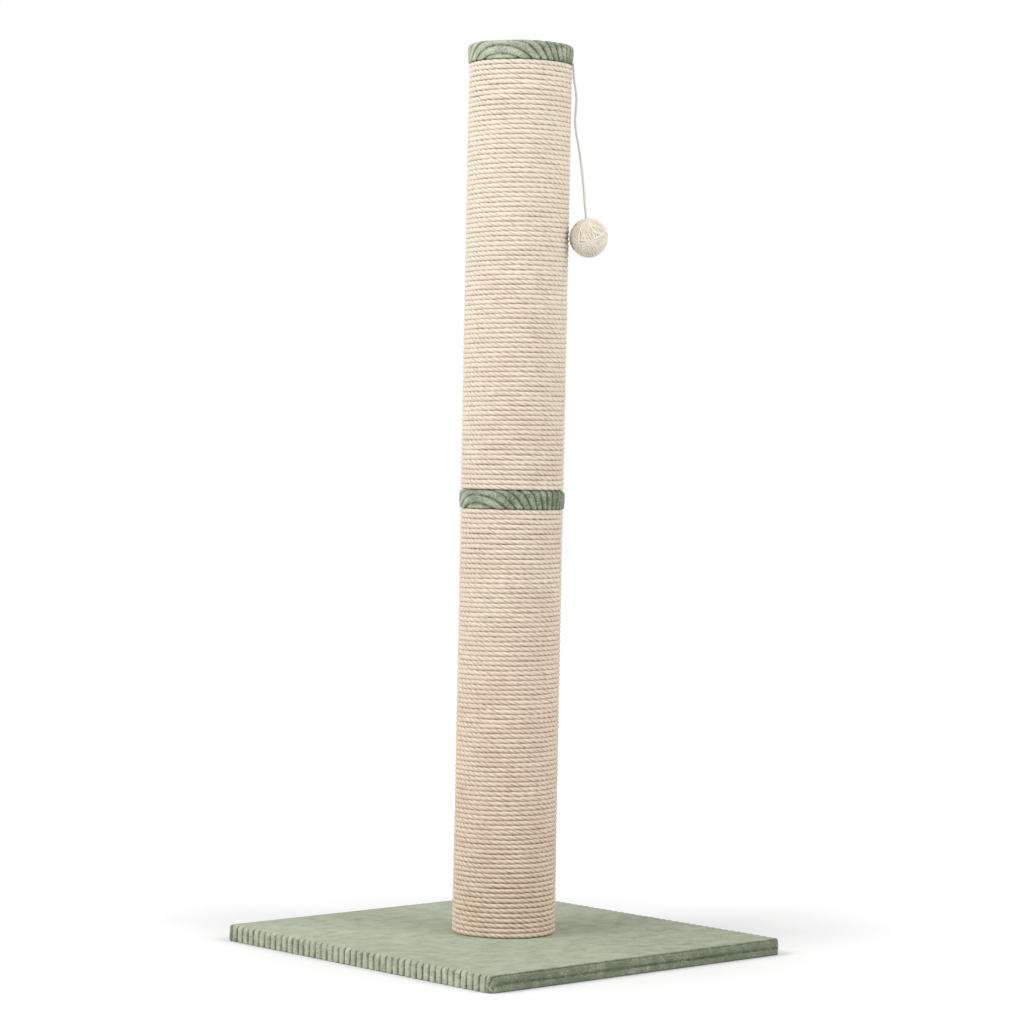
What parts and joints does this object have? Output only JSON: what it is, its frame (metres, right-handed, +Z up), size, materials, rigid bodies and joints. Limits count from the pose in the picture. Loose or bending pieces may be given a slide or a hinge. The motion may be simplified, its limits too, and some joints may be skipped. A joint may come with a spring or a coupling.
{
  "type": "cat scratching post",
  "caption": "Tall free-standing scratching post: plush-covered square base, rope-wound round posts joined end to end, plush caps and a ball on a cord.",
  "frame": {"origin": "centre of the base's underside, on the floor, on the posts' axis", "axes": "+Z up along the posts; X and Y along the base's edges, with the plush's ribs running along X"},
  "size_m": [0.5, 0.5, 1.145],
  "materials": {
    "sage_plush": "wide-wale corduroy plush, brushed",
    "sisal_rope": "natural twisted sisal, matte",
    "ball_twine": "natural twine, matte",
    "white_cord": "twisted cotton, matte",
    "paper_tube": "wound kraft paper",
    "particle_board": "raw particle board",
    "plywood": "raw plywood",
    "grey_felt": "needled felt",
    "zinc_steel": "bright zinc plating",
    "steel_wire": "drawn wire",
    "white_plastic": "moulded"
  },
  "bodies": {
    "post": {"base_board": "particle_board", "base_plush_cover": "sage_plush", "base_underside_felt": "grey_felt", "base_hem_staples": "steel_wire", "base_bolt": "zinc_steel", "base_bolt_washer": "zinc_steel", "post_joining_stud": "zinc_steel", "tee_nuts": "zinc_steel", "toy_cord_tail": "white_cord", "toy_cord_staple": "steel_wire", "lower_tube": "paper_tube", "lower_bottom_plug": "plywood", "lower_top_plug": "plywood", "lower_plug_staples": "steel_wire", "lower_sisal_winding": "sisal_rope", "lower_rope_staples": "steel_wire", "lower_plush_cap": "sage_plush", "upper_tube": "paper_tube", "upper_bottom_plug": "plywood", "upper_top_plug": "plywood", "upper_plug_staples": "steel_wire", "upper_sisal_winding": "sisal_rope", "upper_rope_staples": "steel_wire", "upper_plush_cap": "sage_plush"},
    "toy_bend": {"toy_cord_bend": "white_cord"},
    "toy_hanging": {"toy_cord": "white_cord", "toy_cord_knot": "white_cord"},
    "toy_ball": {"toy_ball_core": "white_plastic", "toy_ball_twine": "ball_twine"}
  },
  "joints": [
    {"name": "toy_swing_side", "type": "hinge", "parent": "post", "child": "toy_bend", "pos_m": [0.04248, -0.05246, 1.118], "axis": [0.6293, -0.7771, 0], "range_deg": [-35, 35]},
    {"name": "toy_swing_out", "type": "hinge", "parent": "toy_bend", "child": "toy_hanging", "pos_m": [0.04248, -0.05246, 1.118], "axis": [-0.7771, -0.6293, 0], "range_deg": [0, 80]},
    {"name": "toy_ball_spin", "type": "hinge", "parent": "toy_hanging", "child": "toy_ball", "pos_m": [0.05746, -0.07095, 0.9028], "axis": [-0.0904, 0.1116, 0.9896], "continuous": true}
  ]
}
